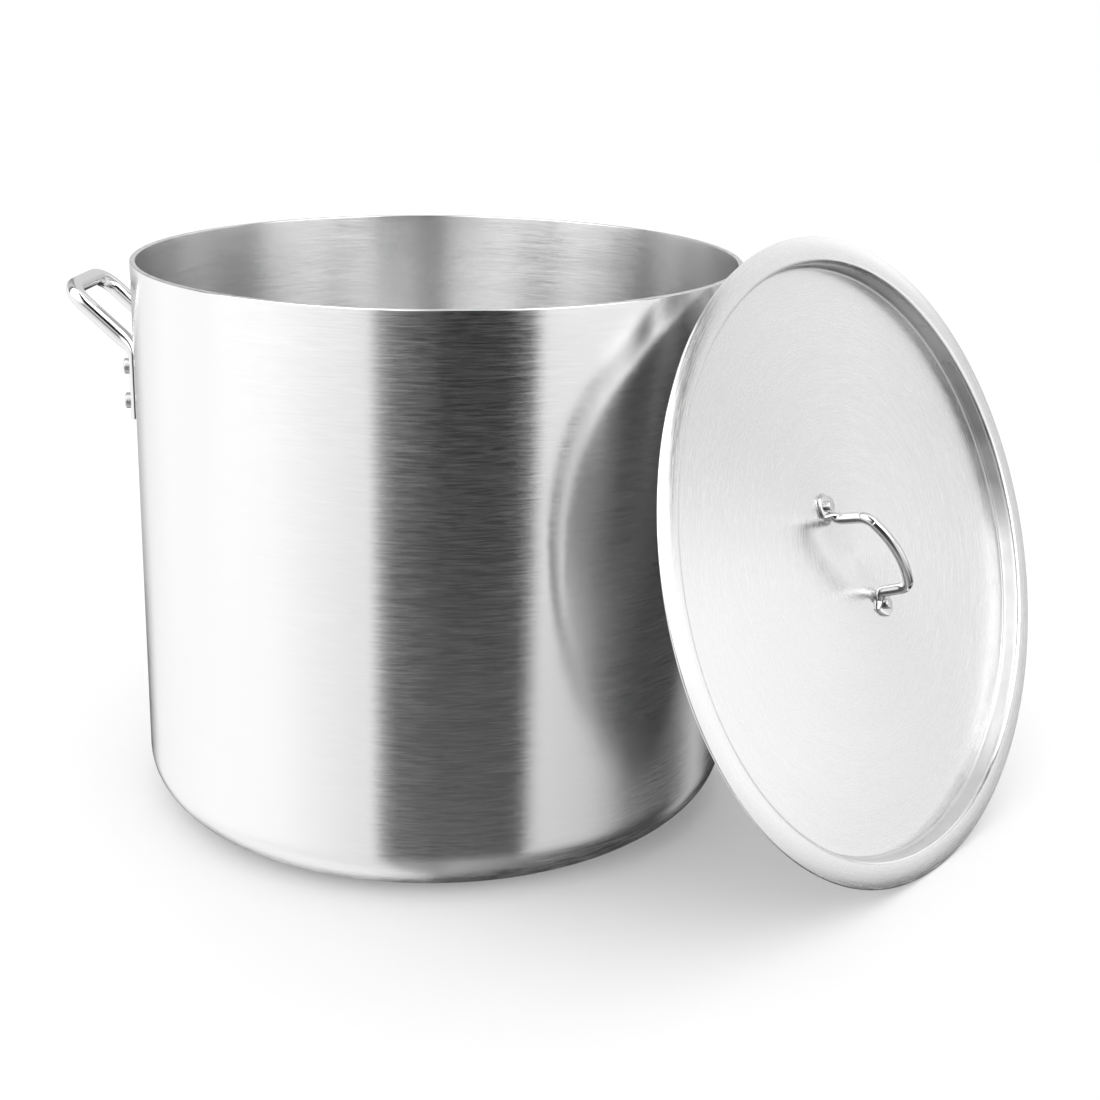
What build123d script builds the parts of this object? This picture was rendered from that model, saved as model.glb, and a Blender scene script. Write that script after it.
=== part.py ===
from build123d import *
import os
from math import asin, cos, degrees, radians, sin, tan

# A large aluminium stock pot with two riveted rod handles, and its lid.
# The pot stands on its base with the handles on the X axis. The lid leans on the end of the right
# handle, with its lowest edge on the same surface as the pot's base.
# Millimetres, +Z up. The origin is the middle of the pot's base.

# pot shell
POT_R = 255.0
POT_HEIGHT = 462.0
WALL = 4.5
BASE_THICKNESS = 6.0
CORNER_R = 40.0
RIM_ROUND = 2.0
POT_INNER_R = POT_R - WALL

# side handles: round rod, pressed flat where it lies on the wall
ROD_D = 14.5
FOOT_THICKNESS = 7.0
FOOT_WIDTH = 21.0
FOOT_ROUND = 5.0
FOOT_BOTTOM = 320.0
LEG_SPACING = 78.0
LEG_BEND_Z = 380.0
LEG_BEND_R = 13.0
GRIP_REACH = 309.4
GRIP_Z = 428.7
GRIP_BEND_R = 18.0
FLAT_RUNOUT = 2.0
LEG_Y = LEG_SPACING / 2
FOOT_AZIMUTH = degrees(asin(LEG_Y / (POT_R + FOOT_THICKNESS / 2)))
FOOT_X = (POT_R + FOOT_THICKNESS / 2) * cos(radians(FOOT_AZIMUTH))

# rivets of the side handles: two in each foot, one above the other
RIVET_HEIGHTS = (334.5, 364.5)
RIVET_SHANK_D = 8.0
RIVET_HEAD_D = 13.5
RIVET_HEAD_H = 5.0
RIVET_EDGE_ROUND = 1.2
INNER_HEAD_D = 17.0
INNER_HEAD_H = 2.4

# lid: one pressed sheet, with a flange round a sunk panel that fits inside the rim
LID_R = 260.0
LID_SHEET = 2.0
LID_PANEL_DEPTH = 12.0
LID_WALL_R = 238.0
LID_CROWN = 3.5

# lid handle: bent rod with its ends pressed into leaf-shaped pads, one rivet in each
LID_ROD_D = 9.4
LID_LEG_U = 39.5
LID_SHOULDER_U = 37.5
LID_SHOULDER_H = 32.0
LID_ARCH_H = 46.5
LID_SHOULDER_BEND_R = 12.0
LID_ARCH_R = 90.0
LID_FOOT_BEND_R = 6.2
LID_FOOT_H = 5.0
PAD_THICKNESS = 3.0
PAD_RIVET_U = 53.0
PAD_TIP_U = 63.5
PAD_HALF_WIDTH = 10.5
LID_SHANK_D = 5.0
LID_RIVET_HEAD_D = 8.5
LID_RIVET_HEAD_H = 4.0
LID_HANDLE_TURN = 28.5

# how the lid stands: it faces this azimuth and leans back by this angle
LID_FACING = -36.0
LID_LEAN = 18.88
LID_CENTRE_X = 361.0
LID_CENTRE_Y = -101.0


def half_section(points):
    """The face in the XZ plane inside an outline of (radius, height) points."""
    return make_face(Polyline(*[(r, 0, z) for r, z in points], close=True))


def pot_body():
    """The drawn shell: one revolved wall and base with rounded corners and a rounded rim."""
    inner_corner = CORNER_R - WALL
    outline = half_section([
        (0, 0), (POT_R, 0), (POT_R, POT_HEIGHT), (POT_INNER_R, POT_HEIGHT),
        (POT_INNER_R, BASE_THICKNESS), (0, BASE_THICKNESS),
    ])
    corners = {
        (POT_R, 0): CORNER_R,
        (POT_INNER_R, BASE_THICKNESS): inner_corner,
        (POT_R, POT_HEIGHT): RIM_ROUND,
        (POT_INNER_R, POT_HEIGHT): RIM_ROUND,
    }
    shell = revolve(rounded(outline, corners), Axis.Z)
    for azimuth, height in rivet_places():
        hole = Rot(0, 0, azimuth) * Pos(POT_R, 0, height) * Rot(0, 90, 0)
        shell -= hole * Cylinder(RIVET_SHANK_D / 2, 4 * WALL)
    return shell


def rounded(face, corners):
    """The face in the XZ plane with the named (x, z) corners filleted."""
    for (x, z), radius in corners.items():
        vertex = face.vertices().sort_by_distance((x, 0, z))[0]
        face = fillet(vertex, radius)
    return face


def rivet_places():
    """Azimuth and height of the eight rivets in the pot's wall, four for each handle."""
    return [
        (side + turn, height)
        for side in (0, 180)
        for turn in (-FOOT_AZIMUTH, FOOT_AZIMUTH)
        for height in RIVET_HEIGHTS
    ]


def leg_slope():
    """Unit direction of the upper leg, from the wall out and up to the grip."""
    return Vector(GRIP_REACH - FOOT_X, 0, GRIP_Z - LEG_BEND_Z).normalized()


def leg():
    """One foot on the +Y side, and its bend from flat strip to round rod."""
    slope = leg_slope()
    turn = 90 - degrees(asin(slope.Z))
    tangent_length = LEG_BEND_R * tan(radians(turn / 2))
    start = Vector(FOOT_X, LEG_Y, LEG_BEND_Z - tangent_length)
    end = Vector(FOOT_X, LEG_Y, LEG_BEND_Z) + slope * tangent_length
    half = radians(turn / 2)
    middle = start + Vector(LEG_BEND_R * (1 - cos(half)), 0, LEG_BEND_R * sin(half))
    across = Vector(-sin(radians(FOOT_AZIMUTH)), cos(radians(FOOT_AZIMUTH)), 0)
    flat = Plane(start, x_dir=across, z_dir=(0, 0, 1))
    between = Plane(middle, x_dir=(0, 1, 0), z_dir=(sin(half), 0, cos(half)))
    round_end = Plane(end, x_dir=(0, 1, 0), z_dir=slope)
    foot_face = flat * Ellipse(FOOT_WIDTH / 2, FOOT_ROUND)
    bend = loft([
        foot_face,
        between * Ellipse((FOOT_WIDTH + ROD_D) / 4, (FOOT_ROUND + ROD_D / 2) / 2),
        round_end * Circle(ROD_D / 2),
    ])
    foot = extrude(foot_face, amount=FOOT_BOTTOM - start.Z)
    return bend + foot - foot_front(start.Z), round_end


def foot_front(top):
    """What is pressed off the front of a foot, running out to nothing at the top."""
    front = POT_R + FOOT_THICKNESS
    side = make_face(Polyline(
        (front, 0, FOOT_BOTTOM - 1), (front, 0, top - FLAT_RUNOUT), (front + 2, 0, top + 1),
        (front + 9, 0, top + 1), (front + 9, 0, FOOT_BOTTOM - 1), close=True,
    ))
    return Rot(0, 0, FOOT_AZIMUTH) * extrude(side, amount=FOOT_WIDTH, both=True)


def right_handle():
    """The handle on the +X side: two feet, two sloping legs and the grip, in one bent rod."""
    near_leg, joint = leg()
    corner = Vector(GRIP_REACH, LEG_Y, GRIP_Z)
    route = FilletPolyline(
        joint.origin, corner, mirrored_y(corner), mirrored_y(joint.origin), radius=GRIP_BEND_R
    )
    rod = sweep(joint * Circle(ROD_D / 2), path=route)
    handle = rod + near_leg + mirror(near_leg, about=Plane.XZ)
    handle -= Pos(0, 0, POT_HEIGHT / 2) * Cylinder(POT_R, 2 * POT_HEIGHT)
    for azimuth, height in rivet_places()[:4]:
        hole = Rot(0, 0, azimuth) * Pos(POT_R, 0, height) * Rot(0, 90, 0)
        handle -= hole * Cylinder(RIVET_SHANK_D / 2, 4 * FOOT_THICKNESS)
    return handle


def mirrored_y(point):
    return Vector(point.X, -point.Y, point.Z)


def wall_rivet(azimuth, height):
    """A rivet through a foot and the wall, with a thick outer head and a low inner head."""
    front = POT_R + FOOT_THICKNESS
    head = Pos(front + RIVET_HEAD_H / 2, 0, 0) * Rot(0, 90, 0) * Cylinder(
        RIVET_HEAD_D / 2, RIVET_HEAD_H
    )
    head = fillet(head.edges().sort_by(Axis.X)[-1], RIVET_EDGE_ROUND)
    length = front - POT_INNER_R + 1
    shank = Pos(front - length / 2, 0, 0) * Rot(0, 90, 0) * Cylinder(RIVET_SHANK_D / 2, length)
    bulge_r = (INNER_HEAD_D**2 / 4 + INNER_HEAD_H**2) / (2 * INNER_HEAD_H)
    inner = Pos(POT_INNER_R - INNER_HEAD_H + bulge_r, 0, 0) * Sphere(bulge_r)
    inner &= Pos(POT_INNER_R, 0, 0) * Rot(0, 90, 0) * Cylinder(INNER_HEAD_D / 2, 6)
    inner &= Pos(0, 0, -10) * Cylinder(POT_INNER_R, 40)
    return Rot(0, 0, azimuth) * Pos(0, 0, height) * (head + shank + inner)


def lid_disc():
    """The pressed sheet in its own frame: Z along its axis, its outer edge at Z = 0."""
    top = LID_CROWN
    floor = -LID_PANEL_DEPTH
    edge = LID_SHEET / 2
    outline = half_section([
        (0, floor), (LID_WALL_R, floor), (LID_WALL_R, top), (LID_R, edge), (LID_R, -edge),
        (LID_WALL_R + LID_SHEET, top - LID_SHEET), (LID_WALL_R + LID_SHEET, floor - LID_SHEET),
        (0, floor - LID_SHEET),
    ])
    corners = {
        (LID_WALL_R, floor): 3.0,
        (LID_WALL_R + LID_SHEET, floor - LID_SHEET): 5.0,
        (LID_WALL_R, top): 4.0,
        (LID_WALL_R + LID_SHEET, top - LID_SHEET): 2.0,
        (LID_R, edge): 0.9,
        (LID_R, -edge): 0.9,
    }
    disc = revolve(rounded(outline, corners), Axis.Z)
    for side in (-1, 1):
        place = handle_frame() * Pos(side * PAD_RIVET_U, 0, 0)
        disc -= place * Cylinder(LID_SHANK_D / 2, 6 * LID_SHEET)
    return disc


def handle_frame():
    """The lid handle's frame in the lid's: X along the handle, Z = 0 on the panel."""
    return Pos(0, 0, -LID_PANEL_DEPTH) * Rot(0, 0, 90 + LID_HANDLE_TURN)


def lid_handle():
    """The arched rod, bent outward at each foot into a pressed pad with a rivet hole."""
    radius = LID_ROD_D / 2
    foot_u = LID_LEG_U + LID_FOOT_BEND_R
    half = [
        (foot_u, 0, LID_FOOT_H), (LID_LEG_U, 0, LID_FOOT_H), (LID_SHOULDER_U, 0, LID_SHOULDER_H),
    ]
    points = half + [(0, 0, LID_ARCH_H)] + [(-u, v, w) for u, v, w in reversed(half)]
    foot_bend = LID_FOOT_BEND_R - 0.4
    bends = [foot_bend, LID_SHOULDER_BEND_R, LID_ARCH_R, LID_SHOULDER_BEND_R, foot_bend]
    route = FilletPolyline(*points, radius=bends)
    start = Plane((foot_u, 0, LID_FOOT_H), x_dir=(0, 1, 0), z_dir=(1, 0, 0))
    rod = sweep(start * Circle(radius), path=route)
    return rod + pad() + mirror(pad(), about=Plane.YZ)


def pad():
    """The pad at +X, with the short flare that joins it to the rod."""
    half_outline = [
        (LID_LEG_U + 2, 3.0),
        (PAD_RIVET_U - 4, PAD_HALF_WIDTH),
        (PAD_RIVET_U + 5, PAD_HALF_WIDTH - 1.5),
        (PAD_TIP_U, 4.0),
    ]
    outline = half_outline + [(u, -v) for u, v in reversed(half_outline)]
    leaf = make_face(Polyline(*outline, close=True))
    leaf = fillet(leaf.vertices(), 1.8)
    plate = extrude(leaf, amount=PAD_THICKNESS)
    rod_end = Plane((LID_LEG_U + LID_FOOT_BEND_R, 0, LID_FOOT_H), x_dir=(0, 1, 0), z_dir=(1, 0, 0))
    flat_end = Plane((PAD_RIVET_U - 4.5, 0, PAD_THICKNESS / 2), x_dir=(0, 1, 0), z_dir=(1, 0, 0))
    flare = loft([rod_end * Circle(LID_ROD_D / 2), flat_end * Ellipse(6.5, PAD_THICKNESS / 2)])
    hole = Pos(PAD_RIVET_U, 0, 0) * Cylinder(LID_SHANK_D / 2, 6 * PAD_THICKNESS)
    return plate + flare - hole


def lid_rivet(side):
    """A rivet through a pad and the panel, in the lid handle's frame."""
    head = Pos(0, 0, PAD_THICKNESS + LID_RIVET_HEAD_H / 2) * Cylinder(
        LID_RIVET_HEAD_D / 2, LID_RIVET_HEAD_H
    )
    head = fillet(head.edges().sort_by(Axis.Z)[-1], 1.0)
    shank_length = PAD_THICKNESS + LID_SHEET
    shank = Pos(0, 0, (PAD_THICKNESS - LID_SHEET) / 2) * Cylinder(LID_SHANK_D / 2, shank_length)
    tail = Pos(0, 0, -LID_SHEET - 0.75) * Cylinder(LID_RIVET_HEAD_D / 2, 1.5)
    tail = fillet(tail.edges().sort_by(Axis.Z)[0], 0.7)
    return handle_frame() * Pos(side * PAD_RIVET_U, 0, 0) * (head + shank + tail)


def lid_place():
    """Where the leaning lid's own frame lies, with its lowest edge at Z = 0."""
    lean, facing = radians(LID_LEAN), radians(LID_FACING)
    normal = Vector(cos(lean) * cos(facing), cos(lean) * sin(facing), sin(lean))
    sideways = Vector(-sin(facing), cos(facing), 0)
    edge_round = LID_SHEET / 2
    centre_z = (LID_R - edge_round) * cos(lean) + edge_round
    centre = Vector(LID_CENTRE_X, LID_CENTRE_Y, centre_z)
    return Plane(centre, x_dir=sideways, z_dir=normal).location


def build():
    """Every node of the part, by name, in the pot's frame."""
    handle = right_handle()
    nodes = {
        "pot_body": pot_body(),
        "left_handle": Rot(0, 0, 180) * handle,
        "right_handle": handle,
    }
    for i, (azimuth, height) in enumerate(rivet_places()):
        side = "right" if i < 4 else "left"
        nodes[f"{side}_handle_rivet_{i % 4 + 1}"] = wall_rivet(azimuth, height)
    place = lid_place()
    nodes["lid_disc"] = place * lid_disc()
    nodes["lid_handle"] = place * handle_frame() * lid_handle()
    nodes["lid_rivet_1"] = place * lid_rivet(1)
    nodes["lid_rivet_2"] = place * lid_rivet(-1)
    return nodes


os.makedirs("parts", exist_ok=True)
for name, shape in build().items():
    export_step(shape, f"parts/{name}.step")
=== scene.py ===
from math import atan2, ceil, cos, hypot, pi, radians, sin, tan

import bpy
from mathutils import Matrix, Vector


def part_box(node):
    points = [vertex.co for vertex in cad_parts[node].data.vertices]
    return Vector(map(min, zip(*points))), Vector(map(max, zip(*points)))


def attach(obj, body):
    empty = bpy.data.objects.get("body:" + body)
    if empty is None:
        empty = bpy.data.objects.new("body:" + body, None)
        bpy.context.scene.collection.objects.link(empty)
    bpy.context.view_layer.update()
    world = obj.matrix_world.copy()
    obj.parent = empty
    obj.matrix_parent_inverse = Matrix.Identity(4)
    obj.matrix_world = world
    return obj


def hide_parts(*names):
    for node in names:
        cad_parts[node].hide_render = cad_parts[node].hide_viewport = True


# The looks of a brushed aluminium stock pot and its leaning lid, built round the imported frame.
# Everything is in metres, in the frame of the CAD model.

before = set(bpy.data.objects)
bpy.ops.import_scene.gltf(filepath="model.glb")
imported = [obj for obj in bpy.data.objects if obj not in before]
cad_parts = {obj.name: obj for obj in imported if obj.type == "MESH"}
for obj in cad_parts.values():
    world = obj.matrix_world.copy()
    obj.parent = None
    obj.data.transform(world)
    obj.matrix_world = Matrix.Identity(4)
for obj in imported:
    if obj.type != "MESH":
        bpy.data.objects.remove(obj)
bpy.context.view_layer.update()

MM = 0.001

# pot shell
POT_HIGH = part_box("pot_body")[1]
POT_R = POT_HIGH.x
POT_HEIGHT = POT_HIGH.z
WALL = 4.5 * MM
BASE_THICKNESS = 6 * MM
CORNER_R = 40 * MM
RIM_ROUND = 1.1 * MM
POT_INNER_R = POT_R - WALL

# side handles
ROD_R = 7.25 * MM
FOOT_HALF_THICKNESS = 3.5 * MM
FOOT_HALF_WIDTH = 10.5 * MM
FOOT_ROUND = 5 * MM
FOOT_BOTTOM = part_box("right_handle")[0].z
LEG_Y = 39 * MM
LEG_BEND_Z = 380 * MM
LEG_BEND_R = 13 * MM
GRIP_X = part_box("right_handle")[1].x - ROD_R
GRIP_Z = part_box("right_handle")[1].z - ROD_R
GRIP_BEND_R = 18 * MM
# how far below the bend the foot starts to turn round, over what length, and its gap to the wall
ROUNDING_DROP = 12 * MM
ROUNDING_LENGTH = 26 * MM
FOOT_GAP = 0.05 * MM
# the tubes' rounded ends reach this far past their first and last sections
TUBE_END = 0.6 * MM
FOOT_R = POT_R + FOOT_HALF_THICKNESS
FOOT_AZIMUTH = atan2(LEG_Y, (FOOT_R**2 - LEG_Y**2) ** 0.5)
FOOT_X = FOOT_R * cos(FOOT_AZIMUTH)

# rivets through the pot's wall
RIVET_HEIGHTS = (334.5 * MM, 364.5 * MM)
RIVET_SHANK_R = 4 * MM
RIVET_HEAD_R = 6.75 * MM
RIVET_HEAD_H = 5 * MM
RIVET_EDGE_ROUND = 1.3 * MM
INNER_HEAD_R = 8.5 * MM
INNER_HEAD_H = 2.4 * MM
INNER_HEAD_EDGE = 0.25 * MM
DOME_POINTS = 8
# the outer and inner heads start this far inside the foot and the wall, so that no gap shows
RIVET_SINK = 0.1 * MM
INNER_HEAD_SINK = 0.3 * MM

# lid
LID_R = 260 * MM
LID_SHEET = 2 * MM
LID_PANEL_DEPTH = 12 * MM
LID_WALL_R = 238 * MM
LID_CROWN = 3.5 * MM
# the smoother band at the lid's wall: how far it goes inward and outward of the wall
GROOVE_INSIDE = 3.2 * MM
GROOVE_OUTSIDE = 1.2 * MM
LID_FLANGE_MIDDLE_R = 251 * MM
LID_FLANGE_ROUND = 56 * MM
LID_FACING = radians(-36)
LID_LEAN = radians(18.88)
LID_CENTRE = Vector((0.361, -0.101, (LID_R - LID_SHEET / 2) * cos(LID_LEAN) + LID_SHEET / 2))
LID_HANDLE_TURN = radians(28.5)

# lid handle: u runs along it from its middle, h is the height above the panel
LID_ROD_R = 4.7 * MM
LID_LEG_U = 39.5 * MM
LID_SHOULDER = (37.5 * MM, 32 * MM)
LID_ARCH_H = 46.5 * MM
LID_SHOULDER_BEND_R = 12 * MM
LID_ARCH_R = 90 * MM
LID_FOOT_BEND_R = 5.8 * MM
LID_FOOT_H = 5 * MM
PAD_HALF_THICKNESS = 1.5 * MM
PAD_HALF_WIDTH = 10.5 * MM
PAD_NECK_U = 44.5 * MM
PAD_WIDE_U = 50 * MM
PAD_RIVET_U = 53 * MM
PAD_TIP_U = 63.5 * MM
PAD_TIP_HALF_WIDTH = 4 * MM
LID_SHANK_R = 2.5 * MM
LID_TAIL_H = 1.5 * MM
LID_RIVET_HEAD_R = 4.25 * MM
LID_RIVET_HEAD_H = 4 * MM

# the brushing marks: their usual length and width
STREAK_LENGTH = 18 * MM
STREAK_WIDTH = 1.0 * MM

# how finely the meshes are divided
POT_SEGMENTS = 384
LID_SEGMENTS = 384
RIVET_SEGMENTS = 48
RING_POINTS = 48

# floor: how far it reaches from the pot, how far it lies under it, and its tone
FLOOR_REACH = 6.0
FLOOR_DROP = 0.2 * MM
FLOOR_TONE = 0.86

# camera: where it stands, where it looks, and its lens
CAMERA_PLACE = Vector((0.2084, -1.3883, 0.6779))
CAMERA_YAW = radians(-4.631)
CAMERA_PITCH = radians(14.858)
CAMERA_ROLL = radians(1.105)
CAMERA_LENS = 54.616
CAMERA_SENSOR = 36
CAMERA_SHIFT_Y = -0.105


# ---------------------------------------------------------------- meshes

def rounded_line(corners, step, arc_step=radians(6)):
    """Points of a 2D line whose corners (a, b, radius) are rounded, no further apart than step."""
    points = []

    def go_to(target):
        if points:
            start = points[-1]
            pieces = max(1, ceil((target - start).length / step))
            points.extend(start.lerp(target, i / pieces) for i in range(1, pieces))
        points.append(target)

    last = len(corners) - 1
    for i, corner in enumerate(corners):
        here = Vector(corner[:2])
        radius = corner[2] if len(corner) > 2 else 0
        if i in (0, last) or radius == 0:
            go_to(here)
            continue
        back = (Vector(corners[i - 1][:2]) - here).normalized()
        ahead = (Vector(corners[i + 1][:2]) - here).normalized()
        half = back.angle(ahead) / 2
        reach = radius / tan(half)
        centre = here + (back + ahead).normalized() * (radius / sin(half))
        first, second = here + back * reach, here + ahead * reach
        go_to(first)
        turn = pi - 2 * half
        pieces = max(3, ceil(turn / arc_step))
        arm, end = first - centre, second - centre
        sweep = atan2(arm.x * end.y - arm.y * end.x, arm.dot(end))
        for k in range(1, pieces):
            a = sweep * k / pieces
            points.append(centre + Vector((arm.x * cos(a) - arm.y * sin(a),
                                           arm.x * sin(a) + arm.y * cos(a))))
        points.append(second)
    return points


def make_object(name, vertices, faces, material, place=Matrix.Identity(4)):
    """A smooth mesh object at a place in the row frame."""
    mesh = bpy.data.meshes.new(name)
    mesh.from_pydata(vertices, [], faces)
    mesh.polygons.foreach_set("use_smooth", [True] * len(mesh.polygons))
    mesh.materials.append(material)
    mesh.update()
    made = bpy.data.objects.new(name, mesh)
    bpy.context.scene.collection.objects.link(made)
    made.matrix_world = place
    return made


def lathe(name, outline, segments, material, place=Matrix.Identity(4)):
    """A closed turned solid. The outline's (radius, height) points start and end on the axis."""
    inner = outline[1:-1]
    vertices = [(0, 0, outline[0].y), (0, 0, outline[-1].y)]
    for k in range(segments):
        a = 2 * pi * k / segments
        vertices += [(p.x * cos(a), p.x * sin(a), p.y) for p in inner]
    rows = len(inner)
    faces = []
    for k in range(segments):
        here, there = 2 + k * rows, 2 + (k + 1) % segments * rows
        faces.append((0, there, here))
        faces.append((1, here + rows - 1, there + rows - 1))
        faces += [(here + i, there + i, there + i + 1, here + i + 1) for i in range(rows - 1)]
    return make_object(name, vertices, faces, material, place)


def ring(station):
    """Points of one cross-section: an ellipse (square 2) to a box (square high), pressed this thin."""
    centre, side, up, half_width, half_height, square, pressed = station
    points = []
    for k in range(RING_POINTS):
        a = 2 * pi * k / RING_POINTS
        c, s = cos(a), sin(a)
        across = half_width * abs(c) ** (2 / square) * (1 if c > 0 else -1)
        high = half_height * abs(s) ** (2 / square) * (1 if s > 0 else -1)
        points.append(centre + side * across + up * min(pressed, max(-pressed, high)))
    return points


def tube(name, stations, material, place=Matrix.Identity(4), shape=lambda p: p):
    """A closed tube through cross-section stations, with slightly rounded ends."""
    rings = [ring(s) for s in stations]

    def cap(edge, outward):
        middle = sum(edge, Vector()) / len(edge)
        size = max((p - middle).length for p in edge)
        # how far out and in each row of the rounded end lies, in millimetres
        steps = ((0.2, 0.05), (0.45, 0.25), (TUBE_END / MM, 0.6))
        rows = []
        for out, inset in steps:
            inward = min(inset * MM, size / 2)
            rows.append([p + (middle - p).normalized() * inward + outward * out * MM for p in edge])
        return rows, middle + outward * TUBE_END

    first_way = (rings[0][0] - rings[1][0]).normalized()
    last_way = (rings[-1][0] - rings[-2][0]).normalized()
    start, start_middle = cap(rings[0], first_way)
    end, end_middle = cap(rings[-1], last_way)
    rings = start[::-1] + rings + end
    vertices = [shape(p) for points in rings for p in points]
    vertices += [shape(start_middle), shape(end_middle)]
    n = RING_POINTS
    faces = []
    for row in range(len(rings) - 1):
        for k in range(n):
            a, b = row * n + k, row * n + (k + 1) % n
            faces.append((a, b, b + n, a + n))
    tip, tail = len(vertices) - 2, len(vertices) - 1
    last = (len(rings) - 1) * n
    for k in range(n):
        faces.append((tip, (k + 1) % n, k))
        faces.append((tail, last + k, last + (k + 1) % n))
    return make_object(name, vertices, faces, material, place)


def smooth(value):
    """0 to 1 with level ends."""
    t = min(1.0, max(0.0, value))
    return t * t * (3 - 2 * t)


def mix(a, b, share):
    return a + (b - a) * share


def rounded_route(corners, radii, step):
    """Points along a 3D polyline with its inner corners rounded, at about equal steps."""
    route = [corners[0]]

    def go_to(target):
        start = route[-1]
        pieces = max(1, ceil((target - start).length / step))
        route.extend(start.lerp(target, i / pieces) for i in range(1, pieces + 1))

    for i in range(1, len(corners) - 1):
        here = corners[i]
        back = (corners[i - 1] - here).normalized()
        ahead = (corners[i + 1] - here).normalized()
        half = back.angle(ahead) / 2
        reach = radii[i - 1] / tan(half)
        centre = here + (back + ahead).normalized() * (radii[i - 1] / sin(half))
        go_to(here + back * reach)
        arm = here + back * reach - centre
        axis = back.cross(ahead)
        turn = pi - 2 * half
        pieces = max(4, ceil(radii[i - 1] * turn / step))
        for k in range(1, pieces + 1):
            route.append(centre + Matrix.Rotation(-turn * k / pieces, 3, axis) @ arm)
    go_to(corners[-1])
    return route


def stations_along(route, side, section):
    """Cross-sections at the points of a route. section(distance, point) gives their sizes."""
    stations = []
    travelled = 0.0
    for i, point in enumerate(route):
        ahead = route[min(i + 1, len(route) - 1)] - route[max(i - 1, 0)]
        ahead.normalize()
        side = (side - ahead * side.dot(ahead)).normalized()
        if i:
            travelled += (point - route[i - 1]).length
        stations.append((point, side, ahead.cross(side), *section(travelled, point)))
    return stations


def mirrored(stations, axis):
    """The stations and their mirror images across the plane square to an axis at its zero."""
    def flip(v):
        return v - 2 * v.dot(axis) * axis
    other = [(flip(p), flip(s), flip(u), *rest) for p, s, u, *rest in reversed(stations[:-1])]
    return stations + other


# ---------------------------------------------------------------- node helpers

def add_node(tree, kind, inputs=None, **settings):
    """A node with its settings and its inputs, which are values or other nodes' outputs."""
    node = tree.nodes.new(kind)
    for name, value in settings.items():
        setattr(node, name, value)
    for socket, value in (inputs or {}).items():
        if isinstance(value, bpy.types.NodeSocket):
            tree.links.new(value, node.inputs[socket])
        else:
            node.inputs[socket].default_value = value
    return node


def maths(tree, operation, *values):
    inputs = dict(enumerate(values))
    return add_node(tree, "ShaderNodeMath", inputs, operation=operation).outputs[0]


def spread(tree, value, low, high, to_low, to_high, smoothly=False):
    """value between low and high, as a number between to_low and to_high."""
    kind = "SMOOTHSTEP" if smoothly else "LINEAR"
    inputs = {0: value, 1: low, 2: high, 3: to_low, 4: to_high}
    return add_node(tree, "ShaderNodeMapRange", inputs, interpolation_type=kind).outputs[0]


def blend(tree, share, first, second):
    """A number between two others."""
    inputs = {0: share, 2: first, 3: second}
    return add_node(tree, "ShaderNodeMix", inputs, data_type="FLOAT").outputs[0]


def noise(tree, vector, detail=2.0, roughness=0.55, scale=1.0):
    inputs = {"Vector": vector, "Scale": scale, "Detail": detail, "Roughness": roughness}
    return add_node(tree, "ShaderNodeTexNoise", inputs).outputs[0]


def grey(tree, value):
    """A grey colour from a number."""
    return add_node(tree, "ShaderNodeCombineColor", {0: value, 1: value, 2: value}).outputs[0]


def new_material(name):
    material = bpy.data.materials.new(name)
    material.use_nodes = True
    tree = material.node_tree
    shader = tree.nodes["Principled BSDF"]
    shader.inputs["Metallic"].default_value = 1.0
    return material, tree, shader


def ring_place(tree):
    """x, y and the distance across the turned rings, which is height on a wall and radius on a base."""
    place = add_node(tree, "ShaderNodeTexCoord").outputs["Object"]
    parts = add_node(tree, "ShaderNodeSeparateXYZ", {0: place}).outputs
    flat = add_node(tree, "ShaderNodeCombineXYZ", {0: parts[0], 1: parts[1]}).outputs[0]
    radius = add_node(tree, "ShaderNodeVectorMath", {0: flat}, operation="LENGTH").outputs["Value"]
    across = maths(tree, "SUBTRACT", parts[2], radius)
    return parts, across


def ring_vector(tree, parts, across, along_scale, across_scale):
    x = maths(tree, "MULTIPLY", parts[0], along_scale)
    y = maths(tree, "MULTIPLY", parts[1], along_scale)
    w = maths(tree, "MULTIPLY", across, across_scale)
    return add_node(tree, "ShaderNodeCombineXYZ", {0: x, 1: y, 2: w}).outputs[0]


# ---------------------------------------------------------------- materials

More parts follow.
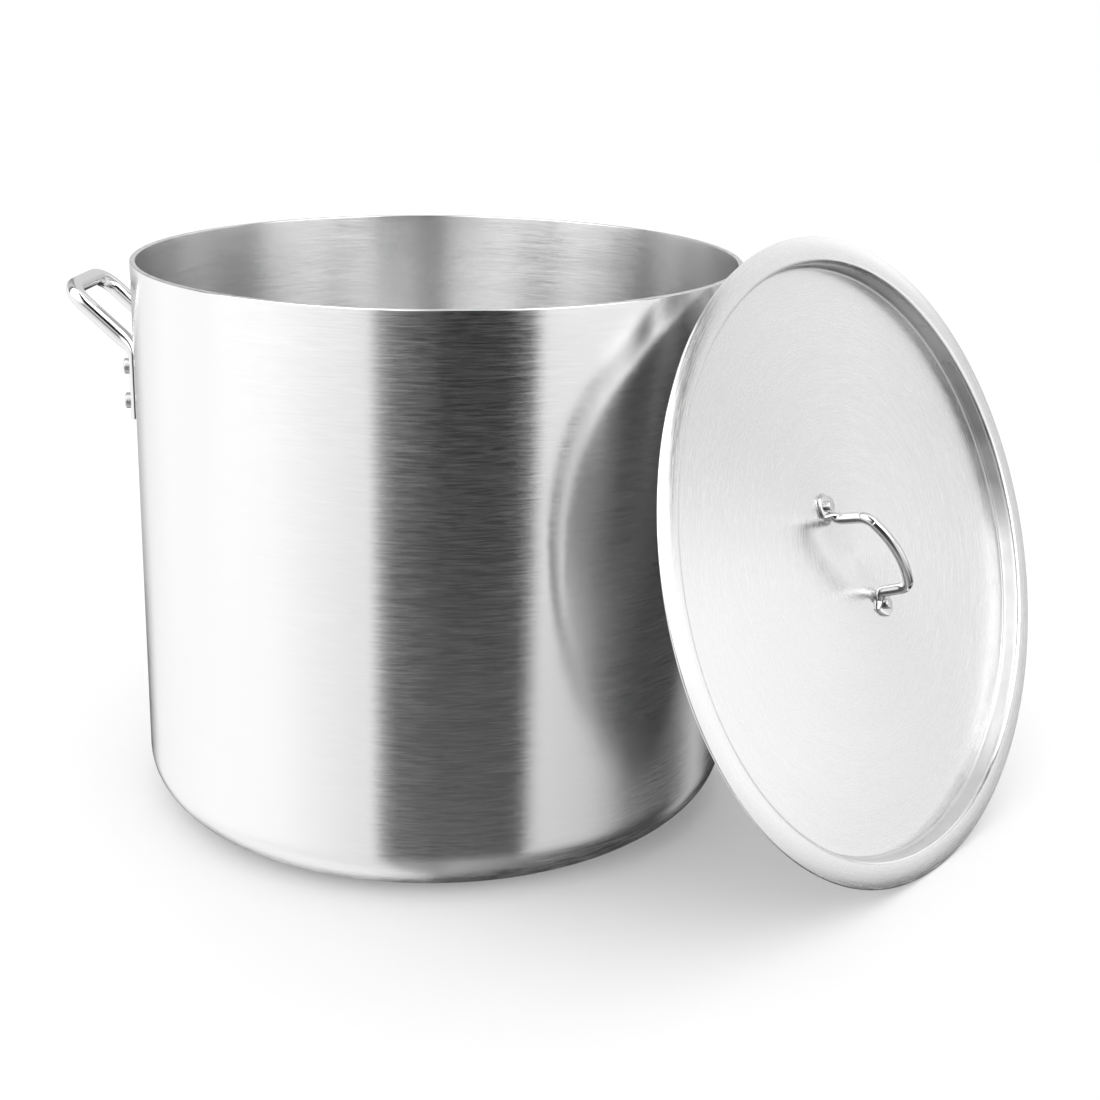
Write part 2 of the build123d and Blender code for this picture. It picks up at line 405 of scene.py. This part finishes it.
def brushed(name, tone, roughness, anisotropy, streak_depth, sway, scatter):
    """Aluminium brushed or spun in rings about the piece's own Z axis.

    streak_depth is the height of the marks, sway how far they turn the surface sideways, and
    scatter how much of the light the roughest of them scatter.
    """
    material, tree, shader = new_material(name)
    parts, across = ring_place(tree)
    long_way, cross_way = 1 / STREAK_LENGTH, 1 / STREAK_WIDTH
    fine = noise(tree, ring_vector(tree, parts, across, 1.6 * long_way, 1.7 * cross_way), 2.0, 0.6)
    coarse = noise(tree, ring_vector(tree, parts, across, 0.5 * long_way, 0.8 * cross_way), 2.0, 0.6)
    drift = noise(tree, ring_vector(tree, parts, across, 0.6 * long_way, cross_way), 1.0, 0.5)
    broad = noise(tree, ring_vector(tree, parts, across, 4.0, 60.0), 2.0, 0.5)
    streak = maths(tree, "ADD", maths(tree, "MULTIPLY", fine, 0.5), maths(tree, "MULTIPLY", coarse, 0.5))
    rough_streak = spread(tree, streak, 0.35, 0.65, roughness * 0.8, roughness * 1.2)
    rough_broad = spread(tree, broad, 0.35, 0.65, -0.008, 0.008)
    tree.links.new(maths(tree, "ADD", rough_streak, rough_broad), shader.inputs["Roughness"])
    shade = spread(tree, streak, 0.3, 0.7, tone * 0.97, tone * 1.01)
    tree.links.new(grey(tree, shade), shader.inputs["Base Color"])
    torn = spread(tree, streak, 0.42, 0.66, 1.0, 1.0 - scatter)
    tree.links.new(torn, shader.inputs["Metallic"])
    tangent = add_node(tree, "ShaderNodeTangent", direction_type="RADIAL", axis="Z").outputs[0]
    tree.links.new(tangent, shader.inputs["Tangent"])
    sideways = maths(tree, "MULTIPLY", maths(tree, "SUBTRACT", drift, 0.5), sway)
    lean = add_node(tree, "ShaderNodeVectorMath", {0: tangent, 3: sideways}, operation="SCALE").outputs[0]
    straight = add_node(tree, "ShaderNodeNewGeometry").outputs["Normal"]
    turned = add_node(tree, "ShaderNodeVectorMath", {0: straight, 1: lean}, operation="ADD").outputs[0]
    level = add_node(tree, "ShaderNodeVectorMath", {0: turned}, operation="NORMALIZE").outputs[0]
    bump = add_node(tree, "ShaderNodeBump", {"Strength": 1.0, "Distance": streak_depth,
                                             "Height": streak, "Normal": level})
    tree.links.new(bump.outputs[0], shader.inputs["Normal"])
    shader.inputs["Anisotropic"].default_value = anisotropy
    shader.inputs["Anisotropic Rotation"].default_value = 0.25
    return material


def polished(name, tone, roughness, waviness):
    """Bright metal with faint buffing marks and a slightly uneven surface."""
    material, tree, shader = new_material(name)
    place = add_node(tree, "ShaderNodeTexCoord").outputs["Object"]
    marks = noise(tree, place, 4.0, 0.7, 900.0)
    patches = noise(tree, place, 2.0, 0.5, 60.0)
    level = maths(tree, "ADD", maths(tree, "MULTIPLY", marks, 0.5), maths(tree, "MULTIPLY", patches, 0.5))
    rough = spread(tree, level, 0.35, 0.65, roughness * 0.7, roughness * 1.4)
    tree.links.new(rough, shader.inputs["Roughness"])
    shade = spread(tree, level, 0.35, 0.65, tone * 0.96, tone * 1.02)
    tree.links.new(grey(tree, shade), shader.inputs["Base Color"])
    uneven = maths(tree, "ADD", maths(tree, "MULTIPLY", marks, 0.04), patches)
    bump = add_node(tree, "ShaderNodeBump", {"Strength": waviness, "Distance": 0.0002, "Height": uneven})
    tree.links.new(bump.outputs[0], shader.inputs["Normal"])
    return material


# brushed: tone, roughness, anisotropy, depth of the marks, sway, scatter
# polished: tone, roughness, waviness
MATERIALS = {
    "pot": brushed("brushed_pot_wall", 0.90, 0.16, 1.0, 0.07 * MM, 0.025, 0.035),
    "pot_inside": brushed("brushed_pot_inside", 0.92, 0.2, 1.0, 0.1 * MM, 0.03, 0.1),
    "rim": polished("polished_rim", 0.78, 0.28, 0.02),
    "side_handle": polished("polished_side_handle", 0.85, 0.10, 0.06),
    "wall_rivet": polished("satin_rivet", 0.6, 0.4, 0.08),
    "lid": brushed("spun_lid", 0.92, 0.25, 0.6, 0.05 * MM, 0.0, 0.1),
    "lid_back": brushed("spun_lid_back", 0.90, 0.18, 0.95, 0.05 * MM, 0.0, 0.05),
    "lid_groove": polished("satin_lid_groove", 0.7, 0.36, 0.03),
    "lid_handle": polished("bright_lid_handle", 0.8, 0.1, 0.02),
    "lid_rivet": polished("bright_lid_rivet", 0.66, 0.22, 0.06),
}


# ---------------------------------------------------------------- the pot

def belongs(piece, body, slot, *nodes):
    """The piece rides on a body and stands for CAD nodes, which are hidden; slot is not used."""
    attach(piece, body)
    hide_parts(*nodes)
    return piece


def pot_shell():
    """The drawn shell, with its rounded bottom corner and rounded rim."""
    outline = rounded_line([
        (0, 0),
        (POT_R, 0, CORNER_R),
        (POT_R, POT_HEIGHT, RIM_ROUND),
        (POT_INNER_R, POT_HEIGHT, RIM_ROUND),
        (POT_INNER_R, BASE_THICKNESS, CORNER_R - WALL),
        (0, BASE_THICKNESS),
    ], step=6 * MM)
    shell = lathe("pot_shell", outline, POT_SEGMENTS, MATERIALS["pot"])
    shell.data.materials.append(MATERIALS["rim"])
    shell.data.materials.append(MATERIALS["pot_inside"])
    for face in shell.data.polygons:
        radius = hypot(face.center.x, face.center.y)
        if face.normal.z > 0.6 and face.center.z > POT_HEIGHT - RIM_ROUND:
            face.material_index = 1
        elif radius < POT_INNER_R + WALL / 2 and face.center.z > BASE_THICKNESS / 2:
            face.material_index = 2
    return belongs(shell, "pot", "pot_shell", "pot_body")


def side_handle(name, node, turn):
    """One bent rod whose two ends are pressed flat against the wall and riveted."""
    across = Vector((-sin(FOOT_AZIMUTH), cos(FOOT_AZIMUTH), 0))
    bottom = Vector((FOOT_X, LEG_Y, FOOT_BOTTOM + TUBE_END))
    bend = Vector((FOOT_X, LEG_Y, LEG_BEND_Z))
    corner = Vector((GRIP_X, LEG_Y, GRIP_Z))
    middle = Vector((GRIP_X, 0, GRIP_Z))
    route = rounded_route([bottom, bend, corner, middle], [LEG_BEND_R, GRIP_BEND_R], 1.5 * MM)
    flat_length = LEG_BEND_Z - FOOT_BOTTOM - ROUNDING_DROP

    def section(distance, point):
        share = smooth((distance - flat_length) / ROUNDING_LENGTH)
        return (mix(FOOT_HALF_WIDTH, ROD_R, share), mix(FOOT_ROUND, ROD_R, share), 2.0,
                mix(FOOT_HALF_THICKNESS, ROD_R, share))

    def outside(point):
        """Rests the back of the foot on the curved wall."""
        radius = hypot(point.x, point.y)
        clear = POT_R + FOOT_GAP
        if radius >= clear:
            return point
        return Vector((point.x * clear / radius, point.y * clear / radius, point.z))

    stations = mirrored(stations_along(route, across, section), Vector((0, 1, 0)))
    place = Matrix.Rotation(turn, 4, "Z")
    handle = tube(name, stations, MATERIALS["side_handle"], place, outside)
    return belongs(handle, "pot", "side_handles", node)


def wall_rivet(name, node, azimuth, height):
    """A rivet through a foot and the wall: a thick outer head and a low inner head."""
    face = POT_R + 2 * FOOT_HALF_THICKNESS
    bulge_r = (INNER_HEAD_R**2 + INNER_HEAD_H**2) / (2 * INNER_HEAD_H)
    edge_angle = atan2(INNER_HEAD_R, bulge_r - INNER_HEAD_H)
    inner_top = POT_INNER_R - INNER_HEAD_H
    dome = []
    for k in range(DOME_POINTS):
        angle = edge_angle * k / DOME_POINTS
        dome.append(Vector((bulge_r * sin(angle), inner_top + bulge_r * (1 - cos(angle)))))
    rest = rounded_line([
        (INNER_HEAD_R, POT_INNER_R - INNER_HEAD_EDGE),
        (INNER_HEAD_R - 0.2 * MM, POT_INNER_R + INNER_HEAD_SINK, 0.1 * MM),
        (RIVET_SHANK_R, POT_INNER_R + INNER_HEAD_SINK),
        (RIVET_SHANK_R, face - RIVET_SINK),
        (RIVET_HEAD_R, face - RIVET_SINK, 0.05 * MM),
        (RIVET_HEAD_R, face + RIVET_HEAD_H, RIVET_EDGE_ROUND),
        (0, face + RIVET_HEAD_H + 0.15 * MM),
    ], step=1 * MM, arc_step=radians(12))
    upright = Matrix.Rotation(azimuth, 4, "Z") @ Matrix.Translation((0, 0, height))
    place = upright @ Matrix.Rotation(pi / 2, 4, "Y")
    piece = lathe(name, dome + rest, RIVET_SEGMENTS, MATERIALS["wall_rivet"], place)
    return belongs(piece, "pot", "wall_rivets", node)


def pot_rivets():
    """Four rivets for each side handle."""
    for side, side_turn in (("right", 0), ("left", pi)):
        places = [(turn, height) for turn in (-FOOT_AZIMUTH, FOOT_AZIMUTH) for height in RIVET_HEIGHTS]
        for i, (turn, height) in enumerate(places, 1):
            wall_rivet(f"{side}_rivet_{i}", f"{side}_handle_rivet_{i}", side_turn + turn, height)


# ---------------------------------------------------------------- the lid

def lid_place():
    """The leaning lid's own frame: Z along its axis, its outer edge at Z = 0."""
    normal = Vector((cos(LID_LEAN) * cos(LID_FACING), cos(LID_LEAN) * sin(LID_FACING), sin(LID_LEAN)))
    sideways = Vector((-sin(LID_FACING), cos(LID_FACING), 0))
    axes = Matrix((sideways, normal.cross(sideways), normal)).transposed()
    return Matrix.Translation(LID_CENTRE) @ axes.to_4x4()


def handle_place():
    """The lid handle's frame: X along the handle, Z = 0 on the panel."""
    return lid_place() @ Matrix.Translation((0, 0, -LID_PANEL_DEPTH)) @ Matrix.Rotation(
        pi / 2 + LID_HANDLE_TURN, 4, "Z"
    )


def lid_sheet():
    """The pressed sheet: a flange, a wall and a sunk panel."""
    floor = -LID_PANEL_DEPTH
    edge = LID_SHEET / 2
    outer_r = LID_WALL_R + LID_SHEET
    outline = rounded_line([
        (0, floor - LID_SHEET),
        (outer_r, floor - LID_SHEET, 5 * MM),
        (outer_r, LID_CROWN - LID_SHEET, 2 * MM),
        (LID_FLANGE_MIDDLE_R, LID_CROWN - LID_SHEET, LID_FLANGE_ROUND),
        (LID_R, -edge, 0.9 * MM),
        (LID_R, edge, 0.9 * MM),
        (LID_FLANGE_MIDDLE_R, LID_CROWN, LID_FLANGE_ROUND),
        (LID_WALL_R, LID_CROWN, 4 * MM),
        (LID_WALL_R, floor, 3 * MM),
        (0, floor),
    ], step=6 * MM, arc_step=radians(3))
    sheet = lathe("lid_sheet", outline, LID_SEGMENTS, MATERIALS["lid"], lid_place())
    sheet.data.materials.append(MATERIALS["lid_groove"])
    sheet.data.materials.append(MATERIALS["lid_back"])
    groove_from, groove_to = LID_WALL_R - GROOVE_INSIDE, LID_WALL_R + GROOVE_OUTSIDE
    for face in sheet.data.polygons:
        radius = hypot(face.center.x, face.center.y)
        if face.center.z < floor - LID_SHEET / 2 or (face.normal.z < 0 and radius > LID_WALL_R):
            face.material_index = 2
        elif groove_from < radius < groove_to:
            face.material_index = 1
    return belongs(sheet, "lid", "lid_sheet", "lid_disc")


def pad_half_width(u):
    """Half the width of the pressed pad: a neck, a wide middle and a narrower tip."""
    if u < PAD_WIDE_U:
        return mix(LID_ROD_R, PAD_HALF_WIDTH, smooth((u - PAD_NECK_U) / (PAD_WIDE_U - PAD_NECK_U)))
    along = (u - PAD_WIDE_U) / (PAD_TIP_U - PAD_WIDE_U)
    return mix(PAD_HALF_WIDTH, PAD_TIP_HALF_WIDTH, along ** 1.9)


def lid_handle():
    """The arched rod with its two ends pressed into leaf-shaped pads."""
    tip = Vector((PAD_TIP_U - TUBE_END, 0, PAD_HALF_THICKNESS))
    neck = Vector((PAD_WIDE_U, 0, PAD_HALF_THICKNESS))
    foot = Vector((LID_LEG_U, 0, LID_FOOT_H))
    shoulder = Vector((LID_SHOULDER[0], 0, LID_SHOULDER[1]))
    top = Vector((0, 0, LID_ARCH_H))
    far = Vector((-LID_SHOULDER[0], 0, LID_SHOULDER[1]))
    bends = [3 * MM, LID_FOOT_BEND_R, LID_SHOULDER_BEND_R, LID_ARCH_R]
    route = rounded_route([tip, neck, foot, shoulder, top, far], bends, 0.7 * MM)
    half = [p for p in route if p.x > 0.3 * MM]
    half.append(Vector((0, 0, max(p.z for p in route))))

    def section(distance, point):
        if point.z > LID_FOOT_H + LID_FOOT_BEND_R or point.x < LID_LEG_U:
            return LID_ROD_R, LID_ROD_R, 2.0, LID_ROD_R
        flat = smooth((point.x - LID_LEG_U - 1.5 * MM) / (PAD_WIDE_U - LID_LEG_U - 1.5 * MM))
        return (pad_half_width(point.x), mix(LID_ROD_R, PAD_HALF_THICKNESS, flat),
                mix(2.0, 5.0, flat), LID_ROD_R)

    stations = mirrored(stations_along(half, Vector((0, 1, 0)), section), Vector((1, 0, 0)))
    handle = tube("bright_lid_handle", stations, MATERIALS["lid_handle"], handle_place())
    return belongs(handle, "lid", "lid_handle", "lid_handle")


def lid_rivet(name, node, side):
    """A rivet through a pad and the panel, with a thick head and a low tail."""
    pad_top = 2 * PAD_HALF_THICKNESS
    outline = rounded_line([
        (0, -LID_SHEET - LID_TAIL_H),
        (LID_RIVET_HEAD_R, -LID_SHEET - LID_TAIL_H, 0.7 * MM),
        (LID_RIVET_HEAD_R, -LID_SHEET),
        (LID_SHANK_R, -LID_SHEET),
        (LID_SHANK_R, pad_top),
        (LID_RIVET_HEAD_R, pad_top, 0.1 * MM),
        (LID_RIVET_HEAD_R, pad_top + LID_RIVET_HEAD_H, 1 * MM),
        (0, pad_top + LID_RIVET_HEAD_H + 0.1 * MM),
    ], step=0.8 * MM, arc_step=radians(12))
    place = handle_place() @ Matrix.Translation((side * PAD_RIVET_U, 0, 0))
    piece = lathe(name, outline, RIVET_SEGMENTS, MATERIALS["lid_rivet"], place)
    return belongs(piece, "lid", "lid_rivets", node)


# ---------------------------------------------------------------- studio

# Brightness of the studio by azimuth in degrees (0 is +X, 90 is +Y), row by row from steeply down to high
UNDER_LIGHT = [
    (-180, 1.0), (-112, 0.8), (-103, 0.4), (-84, 0.3), (-72, 0.4), (-50, 0.3), (-38, 0.24),
    (-22, 0.14), (-4, 0.06), (30, 0.04), (90, 0.05), (104, 0.12), (119, 0.28), (136, 0.6),
    (150, 1.0), (180, 1.0),
]
DEEP_LIGHT = [
    (-180, 1.1), (-145, 1.05), (-112, 0.82), (-107, 0.84), (-103, 0.3), (-98, 0.1), (-51, 0.08),
    (-45, 0.7), (-21, 0.6), (-12, 0.42), (-2, 0.14), (10, 0.05), (22, 0.05), (30, 0.2), (38, 0.5),
    (46, 0.4), (54, 0.02), (118, 0.02), (136, 1.0), (180, 1.1),
]
FLOOR_LIGHT = [
    (-180, 1.1), (-160, 1.1), (-145, 1.05), (-123, 0.89), (-112, 0.84), (-107, 0.88), (-103, 0.27),
    (-98, 0.07), (-90, 0.035), (-78, 0.02), (-66, 0.015), (-48.5, 0.02), (-44, 0.8), (-34, 0.87),
    (-16, 0.88), (4, 0.88), (12, 0.72), (20, 0.58), (36, 0.6), (50, 0.66), (60, 0.42), (108, 0.42),
    (124, 0.6), (136, 0.95), (160, 1.1), (180, 1.1),
]
LEVEL_LIGHT = [
    (-180, 1.1), (-145, 1.05), (-112, 0.8), (-103, 0.3), (-90, 0.1), (-80, 0.05), (-49, 0.04),
    (-43, 0.85), (-20, 0.95), (10, 1.18), (15, 1.12), (17.5, 1.02), (20, 0.78), (26, 0.66), (46, 0.66),
    (58, 0.6), (68, 0.66), (112, 0.7), (124, 0.75), (136, 1.0), (160, 1.1), (180, 1.1),
]
HIGH_LIGHT = [
    (-180, 0.05), (-174, 0.2), (-170, 2.4), (-140, 2.5), (-108, 2.4), (-99, 1.9), (-95, 1.5),
    (-86, 0.7), (-80, 0.05), (-76, 0.01), (-55, 0.01), (-53, 2.2), (-45, 2.6), (-20, 2.5), (-4, 2.4),
    (-1, 0.01), (10, 0.01), (13, 0.8), (22, 0.82), (32, 0.95), (42, 1.3), (56, 0.65), (66, 0.75),
    (110, 0.75), (122, 0.3), (140, 0.5), (160, 0.7), (172, 0.4), (180, 0.05),
]
# the elevations where one of them gives way to the next
UNDER_TO_DEEP = (-44, -36)
DEEP_TO_FLOOR = (-24, -16)
FLOOR_TO_LEVEL = (-11, -5)
LEVEL_TO_HIGH = (5, 13)
DOME = 1.3


def light_by_azimuth(tree, turn, stops):
    ramp = add_node(tree, "ShaderNodeValToRGB", {0: turn})
    elements = ramp.color_ramp.elements
    while len(elements) < len(stops):
        elements.new(0.5)
    for element, (azimuth, light) in zip(elements, stops):
        element.position = (azimuth + 180) / 360
        element.color = (light / 2, light / 2, light / 2, 1)
    return maths(tree, "MULTIPLY", ramp.outputs[0], 2.0)


def studio_light():
    """A soft studio round the pot: large bright sides with dark gaps, and an even dome."""
    world = bpy.data.worlds.new("studio")
    world.use_nodes = True
    world.cycles.sampling_method = "NONE"
    bpy.context.scene.world = world
    tree = world.node_tree
    tree.nodes.clear()
    way = add_node(tree, "ShaderNodeTexCoord").outputs["Generated"]
    parts = add_node(tree, "ShaderNodeSeparateXYZ", {0: way}).outputs
    angle = maths(tree, "ARCTAN2", parts[1], parts[0])
    turn = spread(tree, angle, -pi, pi, 0.0, 1.0)
    light = light_by_azimuth(tree, turn, UNDER_LIGHT)
    for above, change in ((DEEP_LIGHT, UNDER_TO_DEEP), (FLOOR_LIGHT, DEEP_TO_FLOOR),
                          (LEVEL_LIGHT, FLOOR_TO_LEVEL), (HIGH_LIGHT, LEVEL_TO_HIGH)):
        bottom, top = (sin(radians(elevation)) for elevation in change)
        share = spread(tree, parts[2], bottom, top, 0.0, 1.0, True)
        light = blend(tree, share, light, light_by_azimuth(tree, turn, above))
    kind = add_node(tree, "ShaderNodeLightPath").outputs
    light = blend(tree, kind["Is Diffuse Ray"], light, DOME)
    seen = blend(tree, kind["Is Camera Ray"], light, 1.0)
    shade = add_node(tree, "ShaderNodeBackground", {"Color": (1, 1, 1, 1), "Strength": seen})
    out = add_node(tree, "ShaderNodeOutputWorld")
    tree.links.new(shade.outputs[0], out.inputs[0])


def floor():
    """A plain pale floor."""
    material = bpy.data.materials.new("pale_floor")
    material.use_nodes = True
    shader = material.node_tree.nodes["Principled BSDF"]
    shader.inputs["Base Color"].default_value = (FLOOR_TONE, FLOOR_TONE, FLOOR_TONE, 1)
    shader.inputs["Roughness"].default_value = 1.0
    shader.inputs["Specular IOR Level"].default_value = 0.0
    reach = FLOOR_REACH
    corners = [(-reach, -reach, 0), (reach, -reach, 0), (reach, reach, 0), (-reach, reach, 0)]
    plane = make_object("floor", corners, [(0, 1, 2, 3)], material)
    plane.location.z = -FLOOR_DROP
    plane.visible_glossy = False


def camera():
    forward = Vector((sin(CAMERA_YAW) * cos(CAMERA_PITCH), cos(CAMERA_YAW) * cos(CAMERA_PITCH),
                      -sin(CAMERA_PITCH)))
    level = Vector((cos(CAMERA_YAW), -sin(CAMERA_YAW), 0))
    upright = level.cross(forward)
    right = level * cos(CAMERA_ROLL) + upright * sin(CAMERA_ROLL)
    up = upright * cos(CAMERA_ROLL) - level * sin(CAMERA_ROLL)
    data = bpy.data.cameras.new("camera")
    data.lens = CAMERA_LENS
    data.sensor_width = CAMERA_SENSOR
    data.shift_y = CAMERA_SHIFT_Y
    made = bpy.data.objects.new("camera", data)
    axes = Matrix((right, up, -forward)).transposed()
    made.matrix_world = Matrix.Translation(CAMERA_PLACE) @ axes.to_4x4()
    bpy.context.scene.collection.objects.link(made)
    bpy.context.scene.camera = made


pot_shell()
side_handle("right_side_handle", "right_handle", 0)
side_handle("left_side_handle", "left_handle", pi)
pot_rivets()
lid_sheet()
lid_handle()
lid_rivet("lid_handle_rivet_1", "lid_rivet_1", 1)
lid_rivet("lid_handle_rivet_2", "lid_rivet_2", -1)
studio_light()
floor()
camera()
bpy.context.scene.view_settings.view_transform = "Standard"
